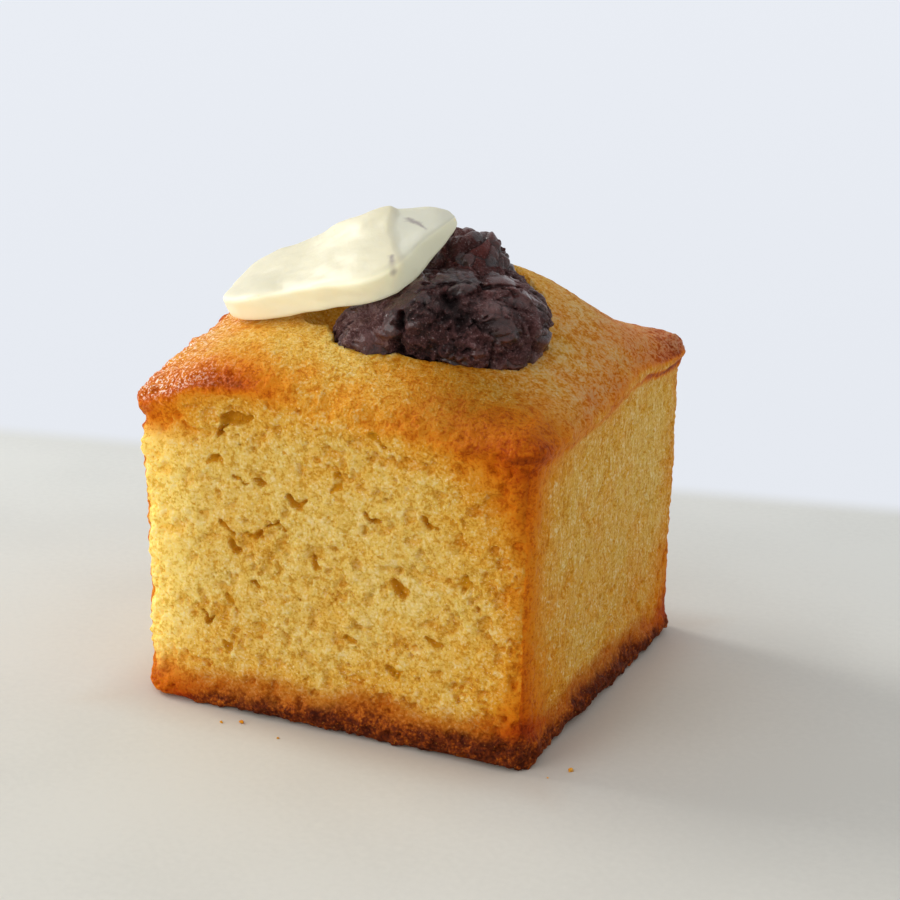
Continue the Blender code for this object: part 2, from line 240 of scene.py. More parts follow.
def soft_noise(points, size, seed):
    """Smooth random heights from -1 to 1, in lumps of the size."""
    table = np.random.default_rng(seed).uniform(-1, 1, (NOISE_REPEAT,) * 3)
    at = points / size
    low = np.floor(at).astype(int)
    part = ease(at - low)
    total = 0
    for corner in itertools.product((0, 1), repeat=3):
        weight = np.prod(np.where(corner, part, 1 - part), axis=1)
        i, j, k = ((low + corner) % NOISE_REPEAT).T
        total = total + weight * table[i, j, k]
    return total


def lumps(points, *layers):
    """Layers of smooth random heights, each with its size in millimetres, its seed and its height."""
    return sum(soft_noise(points, size * MM, seed) * height for size, seed, height in layers)


def astray(points, size, seeds, reach):
    """A smooth random step from each point, in lumps of the size and up to the reach, both in millimetres."""
    return np.stack([soft_noise(points, size * MM, seed) for seed in seeds], axis=-1) * reach * MM


def scattered(points, size, seed):
    """Distances to the nearest two of many scattered seeds, in shares of the size, and the nearest's number."""
    rng = np.random.default_rng(seed)
    places, numbers = rng.random((*(SCATTER_REPEAT,) * 3, 3)), rng.random((SCATTER_REPEAT,) * 3)
    at = points / size
    low = np.floor(at).astype(int)
    nearest, next_one, number = np.full(len(points), 9.0), np.full(len(points), 9.0), np.zeros(len(points))
    for step in itertools.product((-1, 0, 1), repeat=3):
        cell = low + step
        i, j, k = (cell % SCATTER_REPEAT).T
        away = np.linalg.norm(cell + places[i, j, k] - at, axis=1)
        number = np.where(away < nearest, numbers[i, j, k], number)
        next_one = np.minimum(next_one, np.maximum(away, nearest))
        nearest = np.minimum(nearest, away)
    return nearest, next_one, number


def box_skin(cells):
    """Points and four-sided faces of a cube's skin from -1 to 1, cut into cells along X, Y and Z."""
    quads = []
    for axis in range(3):
        first, second = (k for k in range(3) if k != axis)
        i, j = np.meshgrid(np.arange(cells[first]), np.arange(cells[second]), indexing="ij")
        for end in (0, cells[axis]):
            quad = np.zeros((*i.shape, 4, 3), int)
            for corner, (right, up) in enumerate(((0, 0), (1, 0), (1, 1), (0, 1))):
                quad[..., corner, axis] = end
                quad[..., corner, first] = i + right
                quad[..., corner, second] = j + up
            inward = (end == 0) == (axis != 1)
            quads.append(quad.reshape(-1, 4, 3)[:, ::-1 if inward else 1])
    quads = np.concatenate(quads)
    across, deep = cells[0] + 1, cells[1] + 1
    keys, faces = np.unique(quads @ (1, across, across * deep), return_inverse=True)
    points = np.stack([keys % across, keys // across % deep, keys // (across * deep)], axis=-1)
    return points / cells * 2 - 1, faces.reshape(-1, 4)


def outward(points, faces):
    """Each point's direction out of the skin."""
    a, b, c, d = (points[faces[:, k]] for k in range(4))
    flat = np.cross(c - a, d - b)
    total = np.zeros_like(points)
    for corner, axis in itertools.product(range(4), range(3)):
        total[:, axis] += np.bincount(faces[:, corner], flat[:, axis], len(points))
    return total / np.maximum(np.linalg.norm(total, axis=1, keepdims=True), 1e-20)


def top_rise(x, y):
    """Height of the baked top over the height of the sides."""
    u, v = x / HALF, y / HALF
    rise = CRUST_RISE + DOME * np.clip(1 - u * u, 0, 1) * np.clip(1 - v * v, 0, 1)
    for *wave, height in TOP_WAVES:
        rise = rise + height * bell(u, v, *wave)
    return rise


def rounded(inset, drop, radius):
    """Distances in from a side and down from an edge, with the edge between them rounded."""
    a, b = radius - inset, radius - drop
    near = (a > 0) & (b > 0)
    pull = np.where(near, np.maximum(a, b) / np.maximum(np.hypot(a, b), 1e-9), 1)
    return np.where(near, radius - a * pull, inset), np.where(near, radius - b * pull, drop)


def cake_form(box):
    """Points of a box from -1 to 1 moved onto the baked cake, the hollow not yet in it."""
    crowded = np.sin(box * CROWDING) / math.sin(CROWDING)
    x, y = crowded[:, 0] * HALF, crowded[:, 1] * HALF
    z = (crowded[:, 2] + 1) / 2 * SIDE_HEIGHT
    inset = HALF - np.maximum(abs(x), abs(y))
    core = HALF - UPRIGHT_ROUND
    inner_x, inner_y = np.clip(x, -core, core), np.clip(y, -core, core)
    dx, dy = x - inner_x, y - inner_y
    reach = np.hypot(dx, dy)
    pull = np.where(reach > 1e-9, np.maximum(abs(dx), abs(dy)) / np.maximum(reach, 1e-9), 1)
    x, y = inner_x + dx * pull, inner_y + dy * pull
    out_x, out_y = np.where(reach > 1e-9, dx, x), np.where(reach > 1e-9, dy, y)
    length = np.hypot(out_x, out_y) + 1e-12
    out_x, out_y = out_x / length, out_y / length
    foot_inset, z = rounded(inset, z, FOOT_ROUND)
    rim_inset, drop = rounded(foot_inset, SIDE_HEIGHT - z, RIM_ROUND)
    z = SIDE_HEIGHT - drop
    from_corner = 1 - (np.minimum(abs(x), abs(y)) / HALF) ** 2
    lip = LIP * (1 - FRONT_LIP_LOSS * from_corner * np.clip(-out_y, 0, 1))
    lip = lip * np.exp(-(((drop - LIP_DROP) / LIP_DEPTH) ** 2))
    foot = FOOT * np.exp(-(((z - FOOT_DEPTH) / FOOT_DEPTH) ** 2))
    shift = (lip + foot - DRAFT * (1 - z / SIDE_HEIGHT)) * np.clip(1 - rim_inset / (3 * MM), 0, 1)
    shift = shift + inset - rim_inset
    x, y = x + out_x * shift, y + out_y * shift
    x = x - LEFT_BULGE * np.clip(-x / HALF, 0, 1) ** 3 * ease(z / SIDE_HEIGHT)
    z = z + top_rise(x, y) * ease((z - SIDE_HEIGHT + TOP_SHARE) / TOP_SHARE)
    return np.stack([x, y, z], axis=-1), drop


def hollow_floor(x, y):
    """Height of the hollow's floor, and far above the cake where there is none."""
    floor = np.full(len(x), 1.0)
    for middle, radii in (*HOLLOWS, *LOBES):
        spread = ((x - middle[0]) / radii[0]) ** 2 + ((y - middle[1]) / radii[1]) ** 2
        bowl = middle[2] - radii[2] * np.sqrt(np.clip(1 - spread, 0, 1))
        floor = np.where(spread < 1, np.minimum(floor, bowl), floor)
    return floor


def stroke_share(along, up, stroke):
    """How near each point of a side is to a torn stroke, 1 at its middle and 0 at its half width."""
    x0, z0, x1, z1, half_width, _ = (size * MM for size in stroke)
    length = math.hypot(x1 - x0, z1 - z0)
    share = np.clip(((along - x0) * (x1 - x0) + (up - z0) * (z1 - z0)) / length**2, 0, 1)
    away = np.hypot(along - x0 - share * (x1 - x0), up - z0 - share * (z1 - z0))
    return 1 - away / half_width


def crumb_relief(points, side):
    """Height of the open crumb, its cavities from 0 to 1, and how near each point is to a tear and how deep."""
    lump = lumps(points, (3.4, 11, 0.16), (1.5, 12, 0.18))
    away, _, _ = scattered(points, 1.0 * MM, 13)
    grain = (0.5 - away) * 0.30 + soft_noise(points, 0.55 * MM, 14) * 0.14
    ragged = lumps(points, (0.8, 15, 0.5), (0.4, 16, 0.5))
    warp = astray(points, 0.9, (41, 42, 43), 0.45)
    field = soft_noise(points * (1, 1, 1.25), 1.8 * MM, 17) * 0.6 + soft_noise(points, 0.9 * MM, 18) * 0.45
    field = field + soft_noise(points, 0.45 * MM, 19) * 0.35
    cavity = 0.6 * ease((field - 0.15) / 0.40)
    away, _, number = scattered(points + warp, 3.0 * MM, 20)
    torn_cell = np.where(number > WHOLE_CELLS, 1 - away / (0.06 + 0.20 * (number - WHOLE_CELLS)), -1)
    near, depth = torn_cell, SMALL_TEAR_DEPTH * ease(0.3 + torn_cell)
    x, y, z = (points + 1.2 * warp).T
    for torn_side, along, up in ((FRONT, x, z), (BACK, 1 * MM - x, 37 * MM - z), (LEFT, -y, z - 2 * MM)):
        here = side == torn_side
        for stroke in TEARS:
            share = stroke_share(along[here], up[here], stroke)
            near[here] = np.maximum(near[here], share)
            depth[here] = np.maximum(depth[here], 0.85 * stroke[5] * MM * ease(0.3 + share + 0.9 * ragged[here]))
    return (lump + grain) * MM, cavity, near + 0.6 * ragged, depth


def foot_share(x, y, z, side, wander):
    """How far down each point is in the dark foot, 0 above it and at the front's left corner."""
    front = FRONT_FOOT + 1.0 * MM * bell(x, 0, 6 * MM, 0, 12 * MM, 1) + 1.2 * MM * ease((x - 9 * MM) / (8 * MM))
    height = np.where(side == RIGHT, RIGHT_FOOT - 1.2 * MM * ease(y / HALF), front)
    foot = np.clip((height - z + wander * MM) / FOOT_FADE, 0, 1)
    return foot * (1 - 0.9 * bell(x, y, -HALF, -HALF, 6.5 * MM, 8 * MM))


def top_bake(x, y, inset, wander):
    """How far the crust of the top is baked."""
    rim = RIM_BAKE + patches(x, y, RIM_PATCHES) - 0.13 * ease((x - 4 * MM) / (18 * MM))
    return TOP_BAKE + rim * np.exp(-inset / (3.5 * MM)) + patches(x, y, TOP_PATCHES) + 0.05 * wander


def side_bake(x, y, z, side, below, corner, wander):
    """How far the sides are baked: more under the rim, along the upright edges and at the foot."""
    right, front = side == RIGHT, side == FRONT
    bake = np.array(SIDE_BAKE)[side] + 0.03 * wander - 0.10 * (z / SIDE_HEIGHT) * right
    bake -= 0.08 * ease((y - 4 * MM) / (16 * MM)) * ease((z - 9 * MM) / (8 * MM)) * right
    under_rim = np.array(UNDER_RIM_BAKE)[side] + patches(x, y, UNDER_RIM_PATCHES)
    bake += under_rim * np.exp(-np.maximum(below - 2 * MM, 0) / (3.6 * MM))
    bake += np.where(front, 0.20, 0.10) * np.exp(-z / (7 * MM))
    bake += 0.29 * np.exp(-corner / (5 * MM)) * np.exp(-z / (9 * MM)) * (x > 0)
    front_edge = 0.11 * np.exp(-corner / (6 * MM)) + 0.13 * np.exp(-((corner / (3.0 * MM)) ** 2))
    bake += np.where(front, np.where(x > 0, front_edge, 0), 0.34 * np.exp(-corner / (4.2 * MM)))
    return bake + patches(x, z, FRONT_PATCHES) * front + patches(y, z, RIGHT_PATCHES) * right


def cake_mesh(cells):
    """The cake's skin with crumb, crust and hollow, and what its finish needs to know at each point."""
    box, faces = box_skin(cells)
    points, drop = cake_form(box)
    x, y, z = points.T
    out = outward(points, faces)
    on_side = np.clip(1 - abs(out[:, 2]) * 1.4, 0, 1) * (box[:, 2] < 1)
    side = np.argmax(np.stack([out[:, 0], out[:, 1], -out[:, 1], -out[:, 0]], axis=-1), axis=1)

    rim_height = SIDE_HEIGHT + top_rise(np.clip(x, -HALF, HALF), np.clip(y, -HALF, HALF))
    below = np.maximum(rim_height - z, 0)
    corner = HALF - np.minimum(abs(x), abs(y))
    inset = HALF - np.maximum(abs(x), abs(y))
    wander = soft_noise(points, 4.5 * MM, 21) + 0.6 * soft_noise(points, 1.7 * MM, 22)

    # Crust: the whole top and its lip, the rounded uprights and the foot
    crust = ease((CRUST_DEPTH - below + wander * 0.9 * MM) / CRUST_FADE)
    foot = foot_share(x, y, z, side, wander)
    upright = ease((UPRIGHT_WIDTH - corner + wander * 0.5 * MM) / UPRIGHT_FADE) * on_side
    open_crumb = on_side * (1 - crust) * (1 - 0.6 * upright)
    open_crumb = open_crumb * np.array(OPEN_CRUMB)[side]

    relief, cavity, tear, tear_depth = crumb_relief(points, side)
    fine = lumps(points, (0.5, 31, 0.08), (1.1, 32, 0.10), (6, 33, 0.15))
    rim = ease((RIM_WIDTH - inset) / RIM_FADE) * crust
    rim = rim * (1 - 0.8 * bell(x, y, HALF, -HALF, 9 * MM, 9 * MM))
    gritty = np.maximum(np.maximum(ease(foot * 2 - 0.8), rim), np.where(x < 0, 1.2, 0.5) * upright)
    grit_away, _, _ = scattered(points, 1.1 * MM, 34)
    grit = (0.5 - grit_away) * 0.60 + soft_noise(points, 2.2 * MM, 35) * 0.45
    depth = relief * open_crumb + fine * MM * (1 - open_crumb) + gritty * grit * MM
    clear = ease((corner - 3 * MM) / (3 * MM))
    depth = depth - (cavity * 0.9 * MM + tear_depth * clear) * np.clip(open_crumb * 1.15, 0, 1)
    groove = np.exp(-(((below - GROOVE_DROP * MM + wander * 0.8 * MM) / (GROOVE_WIDTH * MM)) ** 2))
    groove = groove * (side == RIGHT) * on_side
    groove = groove * ease(0.6 + soft_noise(points, 2.0 * MM, 36)) * ease((y + 20 * MM) / (12 * MM))
    depth = depth - groove * GROOVE_DEPTH * MM
    settle = ease(z / (0.5 * MM))
    points = points + out * (depth * settle)[:, None]

    # The hollow in the top, its rim torn
    torn = soft_noise(points, 1.2 * MM, 41) * 0.5 * MM + soft_noise(points, 0.5 * MM, 42) * 0.2 * MM
    floor = hollow_floor(x + torn, y + torn) + torn
    inside = (drop < 0.5 * MM) & (floor < points[:, 2])
    cut = np.where(inside, points[:, 2] - floor, 0)
    points[:, 2] -= cut
    hollow = np.clip(cut / (0.8 * MM), 0, 1)

    # How far each point is baked, and where the painted light on the front's left strip, the painted glints on the
    # rim at the left, the painted sheen on the right of the top, the painted shade in the cavities and the hollow,
    # and the deeper brown lie on it
    on_top, on_front = crust * (1 - on_side), on_side * (side == FRONT)
    sides = side_bake(x, y, z, side, below, corner, wander)
    bake = sides + (top_bake(x, y, inset, wander) - sides) * np.where(on_side > 0.5, crust, 1)
    bake = bake + 0.25 * groove
    bake = bake + (HOLLOW_BAKE - bake) * hollow
    # Painted light: the front's left strip lighter, and glowing below the rim, as if lit through from the window side
    lit = bell(x, 0, -HALF, 0, 6.3 * MM, 1) * on_front * ease((z - 1.5 * MM) / (6 * MM))
    glow = lit * ease((35.5 * MM - z + wander * 0.6 * MM) / (3.5 * MM))
    deep = crust * (patches(x, y, DEEP_CRUST_PATCHES) + 0.24 * ease((x + 2 * MM) / (14 * MM)))
    # Where painted glints lie on the rim at the left
    left_rim = bell(x, y, -25 * MM, -22 * MM, 6 * MM, 22 * MM)
    front_left_rim = bell(x, y, -22 * MM, -25 * MM, 6 * MM, 4 * MM)
    marks = {
        "bake": np.clip(bake, 0, 1),
        "crust": np.clip((1 - open_crumb) * (1 - hollow), 0, 1),
        "cavity": np.clip(np.maximum(cavity * open_crumb, 0.5 * hollow), 0, 1),
        "tear": np.where(open_crumb > 0.1, tear - 2 * (1 - clear), -1),
        "streaks": on_side * (side == RIGHT),
        "glow": glow * (1 - crust),
        "lit": lit,
        "glaze": on_top * np.maximum(left_rim, front_left_rim),
        "foot": foot,
        "deep": np.clip(deep + patches(x, z, DEEP_FRONT_PATCHES) * on_front, 0, 1),
        "haze": on_top * ease((x - 11 * MM) / (8 * MM)) * ease((y + 20 * MM) / (12 * MM)),
        "shine": np.clip(bell(x, y, -25 * MM, -22 * MM, 14 * MM, 12 * MM) * crust + 0.25 * foot + 0.15, 0, 1),
    }
    return points, faces, marks


def stroke_distance(points, ends):
    """Each point's distance to a stroke, its ends given in millimetres."""
    start, end = np.array(ends[:3]) * MM, np.array(ends[3:]) * MM
    share = np.clip((points - start) @ (end - start) / ((end - start) @ (end - start)), 0, 1)
    return np.linalg.norm(points - start - share[:, None] * (end - start), axis=1)


def bean_seeds():
    """Directions from the heart to beans spread evenly over the mound, each a little astray, and their lengths."""
    rng = np.random.default_rng(PASTE_SEED)
    step = np.arange(BEANS) + 0.5
    height = 1 - 2 * step / BEANS
    turn = math.pi * (1 + math.sqrt(5)) * step
    flat = np.sqrt(1 - height**2)
    seeds = np.stack([flat * np.cos(turn), flat * np.sin(turn), height], axis=-1)
    seeds += rng.normal(0, BEAN_STRAY, seeds.shape)
    return seeds / np.linalg.norm(seeds, axis=1, keepdims=True), rng.uniform(*BEAN_LENGTH, BEANS)


def paste_reach(ways):
    """How far the paste reaches from its heart in each direction, and the share of that made by a bean."""
    total = 0
    for middle, radii in LOBES:
        start, way = (HEART - middle) / np.array(radii), ways / np.array(radii)
        a, b, c = (way * way).sum(-1), (way * start).sum(-1), start @ start - 1
        under = b * b - a * c
        far = np.where(under > 0, (np.sqrt(np.maximum(under, 0)) - b) / a, 0)
        total = total + np.exp(np.maximum(far, 0) / LOBE_BLEND)
    lobes = LOBE_BLEND * np.log(total) - BEAN_SINK
    bean = 0 * lobes
    for seed, size in zip(*bean_seeds()):
        away = np.arccos(np.clip(ways @ seed, -1, 1)) * lobes / size
        bean = np.maximum(bean, BEAN_RISE * np.sqrt(np.clip(1 - away**2, 0, 1)))
    return lobes + bean, bean / BEAN_RISE


def paste_mesh(cells):
    """The mound: mashed paste with whole beans and split skins in it."""
    box, faces = box_skin(cells)
    ways = np.tan(box * math.pi / 4)
    ways /= np.linalg.norm(ways, axis=1, keepdims=True)
    reach, bean = paste_reach(ways)
    points = HEART + ways * reach[:, None]
    warp = astray(points, 1.6, (51, 52, 53), 0.5)
    away, next_one, number = scattered(points + warp, BIG_LUMPS, 54)
    open_here = ease(0.6 + soft_noise(points, 3.0 * MM, 58))
    seam = ease(1 - (next_one - away) / BIG_SEAM) * open_here
    warp = warp + astray(points, 0.7, (81, 82, 83), 0.35)
    lump_away, next_one, small = scattered(points + warp, SMALL_LUMPS, 55)
    seam = np.maximum(seam, 0.5 * ease(1 - (next_one - lump_away) / SMALL_SEAM) * (small > 0.45) * open_here)
    mash = lumps(points, (1.1, 56, 0.28), (0.5, 57, 0.32))
    smooth = ease((bean - 0.30) / 0.4) * (small > 0.5)
    ragged = soft_noise(points, 0.8 * MM, 59) * 0.5
    crack = np.zeros(len(points))
    for *ends, half_width, depth in PASTE_CRACKS:
        away = stroke_distance(points + warp, ends)
        crack = np.maximum(crack, depth * ease(1.3 - away / (half_width * MM) + ragged))
    shift = (number - 0.5) * 0.5 + 0.55 * (0.45 - lump_away) + mash * (1 - 0.7 * smooth)
    shift = shift - np.maximum(seam * SEAM_DEPTH, crack)
    points = points + ways * (shift * MM)[:, None]
    x, y, z = points.T
    tone = 0.35 + 0.55 * bell(x, y, -2 * MM, -13 * MM, 6 * MM, 6 * MM) + 0.45 * ease((z - 53 * MM) / (3 * MM))
    tone = tone + 0.3 * (number - 0.5) + 0.30 * ease((x - 10 * MM) / (4 * MM)) + 0.5 * mash + 0.2 * (small - 0.5)
    marks = {
        "skin": smooth,
        "crack": np.maximum(seam, np.clip(crack, 0, 1)),
        "tone": np.clip(tone, 0, 1),
        "red": ease((z - 50 * MM) / (6 * MM)) * ease((x - 2 * MM) / (6 * MM)),
    }
    return points, faces, marks


def crumbs_mesh():
    """A few crumbs that fell beside the cake."""
    box, faces = box_skin((12, 12, 12))
    ball = box / np.linalg.norm(box, axis=1, keepdims=True)
    points, all_faces = [], []
    for x, y, size in CRUMBS:
        lump = ball * (1 + 0.7 * soft_noise(ball + x, 0.7, 71))[:, None] * size * MM
        lump[:, 2] = np.maximum(lump[:, 2], -0.6 * size * MM) + 0.6 * size * MM
        all_faces.append(faces + len(ball) * len(points))
        points.append(lump + np.array((x, y, 0)) * MM)
    points = np.concatenate(points)
    everywhere = np.ones(len(points))
    marks = {"bake": CRUMB_BAKE * everywhere, "crust": CRUMB_CRUST * everywhere, "tear": -everywhere}
    return points, np.concatenate(all_faces), marks


def smooth_between(share, at, values):
    """The value at each share along a smooth curve through the values, given where each of them is."""
    slopes = np.gradient(values, at)
    index = np.clip(np.searchsorted(at, share, side="right") - 1, 0, len(at) - 2)
    step = np.diff(at)[index]
    t = (share - np.take(at, index)) / step
    start, end = np.take(values, index), np.take(values, index + 1)
    leave, arrive = slopes[index] * step, slopes[index + 1] * step
    turn = end - start
    return start + t * (leave + t * (3 * turn - 2 * leave - arrive + t * (leave + arrive - 2 * turn)))


def butter_section(share):
    """Middle, half width, half thickness and hang of the slab at each share of its length."""
    at, *columns = zip(*BUTTER_SECTIONS)
    x, y, z, width, thick, tilt = (smooth_between(share, at, column) for column in columns)
    return np.stack([x, y, z], axis=-1) * MM, width * MM, thick * MM, np.radians(tilt)


def butter_mesh(cells):
    """The slab bent along its sections, clear of crust and paste, with its crease and soft dents."""
    box, faces = box_skin(cells)
    power = BUTTER_CORNERS
    box = box * (abs(box).max(-1) / (abs(box) ** power).sum(-1) ** (1 / power))[:, None]
    share = (box[:, 0] + 1) / 2
    middle, width, thick, tilt = butter_section(share)
    ahead, behind = (butter_section(np.clip(share + s, 0, 1))[0] for s in (AXIS_STEP, -AXIS_STEP))
    along = (ahead - behind) / np.linalg.norm(ahead - behind, axis=1, keepdims=True)
    across = np.cross((0.0, 0.0, 1.0), along)
    across /= np.linalg.norm(across, axis=1, keepdims=True)
    upward = np.cross(along, across)
    cos, sin = np.cos(tilt)[:, None], np.sin(tilt)[:, None]
    across, upward = across * cos + upward * sin, upward * cos - across * sin
    points = middle + across * (box[:, 1] * width)[:, None] + upward * (box[:, 2] * thick)[:, None]
    ways = points - HEART
    reach = np.linalg.norm(ways, axis=1)
    ways /= reach[:, None]
    points = HEART + ways * np.maximum(reach, paste_reach(ways)[0] + BUTTER_GAP)[:, None]
    floor = SIDE_HEIGHT + top_rise(points[:, 0], points[:, 1]) + BUTTER_GAP
    points[:, 2] = np.maximum(points[:, 2], floor)

    out = outward(points, faces)
    above = ease(box[:, 2] * 0.5 + 0.5)
    start, end = np.array(BUTTER_FOLD) * MM
    run = (end - start) / np.linalg.norm(end - start)
    beyond = (points[:, :2] - start) @ (-run[1], run[0]) + soft_noise(points, 2.6 * MM, 61) * 0.8 * MM
    fold = ease(beyond / (FOLD_WIDTH * MM)) * np.exp(-np.clip(beyond, 0, 1) / (FOLD_REACH * MM)) * above
    dents = lumps(points, (5, 62, 0.22), (2.2, 63, 0.10))
    dents = dents + soft_noise(points * (0.5, 1, 1), 1.0 * MM, 66) * 0.045
    points = points + out * ((dents - FOLD_DEPTH * fold) * MM)[:, None]
    smear = np.zeros(len(points))
    thinner = soft_noise(points, 0.8 * MM, 64) * 0.6
    for *ends, half_width in BUTTER_SMEARS:
        smear = np.maximum(smear, ease(1.3 - stroke_distance(points, ends) / (half_width * MM) + thinner))
    marks = {
        "smear": np.clip(smear, 0, 1),
        "above": ease((out[:, 2] - 0.25) / 0.7),
        "far_end": ease(beyond / (1.5 * MM)),
    }
    return points, faces, marks


def add_piece(name, points, faces, marks, finish, most):
    """An object from points and faces, its marks kept as attributes, thinned to at most so many triangles."""
    mesh = bpy.data.meshes.new(name)
    mesh.vertices.add(len(points))
    mesh.vertices.foreach_set("co", points.ravel())
    mesh.loops.add(faces.size)
    mesh.loops.foreach_set("vertex_index", faces.ravel())
    mesh.polygons.add(len(faces))
    mesh.polygons.foreach_set("loop_start", np.arange(0, faces.size, faces.shape[1]))
    mesh.update(calc_edges=True)
    for mark, values in marks.items():
        mesh.attributes.new(mark, "FLOAT", "POINT").data.foreach_set("value", values.astype(np.float32))
    piece = bpy.data.objects.new(name, mesh)
    bpy.context.scene.collection.objects.link(piece)
    triangles = len(faces) * (faces.shape[1] - 2)
    if triangles > most:
        thin = piece.modifiers.new("thin", "DECIMATE")
        thin.ratio = most / triangles
        thinned = piece.evaluated_get(bpy.context.evaluated_depsgraph_get())
        piece.data = bpy.data.meshes.new_from_object(thinned)
        piece.modifiers.clear()
    piece.data.materials.append(finish)
    piece.data.shade_smooth()
    return piece


# ---------------------------------------------------------------------------- finishes

# The cake by how far it is baked, and its dark foot from burnt to browned bits
BAKED = (
    (0.00, (0.82, 0.63, 0.26)), (0.14, (0.76, 0.51, 0.115)), (0.25, (0.75, 0.41, 0.055)),
    (0.36, (0.74, 0.31, 0.020)), (0.50, (0.71, 0.20, 0.005)), (0.64, (0.52, 0.092, 0.001)),
    (0.80, (0.22, 0.032, 0.001)), (1.00, (0.065, 0.012, 0.002)),
)
DARK_FOOT = (
    (0.15, (0.055, 0.008, 0.002)), (0.45, (0.150, 0.025, 0.004)),
    (0.70, (0.380, 0.082, 0.006)), (0.95, (0.640, 0.210, 0.016)),
)
# The crumb on the front's left strip in painted light; paler crumb, partly painted highlight; and torn crumb
SUNLIT_CRUMB, PALE_CRUMB, TORN_CRUMB = (1.0, 0.76, 0.20), (0.93, 0.78, 0.46), (0.60, 0.255, 0.006)
# Painted sheen on the crust, and painted glints on the rim at the left
SHEEN_ON_CRUST, RIM_GLINT = (0.60, 0.42, 0.25), (0.98, 0.86, 0.76)
# Painted glints on the crumb and on the foot
GLINT_ON_CRUMB, GLINT_ON_FOOT = (0.98, 0.92, 0.70), (0.80, 0.36, 0.03)

# Colours that the cake's colour is multiplied by: a deeper brown, painted shade between the grains and in the
# cavities, and amber above the foot
DEEPER_BROWN, SHADE_BETWEEN_GRAINS, SHADE_IN_CAVITIES = (0.58, 0.56, 0.46), (0.75, 0.60, 0.28), (0.95, 0.78, 0.38)
AMBER_STAIN = (0.70, 0.43, 0.27)

MASHED_PASTE = (
    (0.00, (0.012, 0.004, 0.004)), (0.35, (0.060, 0.018, 0.017)),
    (0.70, (0.135, 0.050, 0.048)), (1.00, (0.260, 0.145, 0.140)),
)
BEAN_SKIN = ((0.1, (0.010, 0.003, 0.0035)), (0.9, (0.080, 0.014, 0.010)))
# Red paste, its cracks in painted shade, and pale specks
RED_PASTE, SHADE_IN_PASTE_CRACKS, PASTE_SPECK = (0.19, 0.036, 0.028), (0.006, 0.002, 0.002), (0.48, 0.36, 0.35)

# The butter: its sides painted lighter and its top painted darker, painted light and shade; its far end, clouds,
# specks and dark smears
LIT_BUTTER_SIDE, SHADED_BUTTER_TOP, BUTTER_FAR_END = (0.92, 0.87, 0.65), (0.66, 0.62, 0.450), (0.59, 0.595, 0.50)
BUTTER_CLOUD, BUTTER_SPECK, BUTTER_SMEAR = (0.88, 0.82, 0.56), (0.86, 0.70, 0.22), (0.24, 0.20, 0.21)
# Painted glow on the butter's sides
BUTTER_PAINTED_GLOW = (0.115, 0.115, 0.065)

# The floor, lighter towards its far edge as painted light, with a painted warm shadow round the cake; then the
# background, and black
FLOOR_NEAR, FLOOR_FAR, FLOOR_PAINTED_SHADOW = (0.665, 0.655, 0.600), (0.700, 0.712, 0.680), (0.52, 0.40, 0.29)
BACKGROUND, BLACK = (0.765, 0.795, 0.852), (0.0, 0.0, 0.0)


class Value:
    """One value in a finish's nodes. Sums on it add Math nodes."""

    def __init__(self, finish, socket):
        self.finish, self.socket = finish, socket

    def maths(self, operation, *others):
        values = dict(enumerate((self, *others)))
        return self.finish.node("ShaderNodeMath", {"operation": operation}, values)

    def __add__(self, other):
        return self.maths("ADD", other)

    def __sub__(self, other):
        return self.maths("SUBTRACT", other)

    def __rsub__(self, other):
        return self.finish.node("ShaderNodeMath", {"operation": "SUBTRACT"}, {0: other, 1: self})

    def __mul__(self, other):
        return self.maths("MULTIPLY", other)

    __radd__, __rmul__ = __add__, __mul__

    def between(self, low, high):
        """0 below low, 1 above high, smooth between."""
        settings = {"interpolation_type": "SMOOTHSTEP"}
        return self.finish.node("ShaderNodeMapRange", settings, {0: self, 1: low, 2: high})


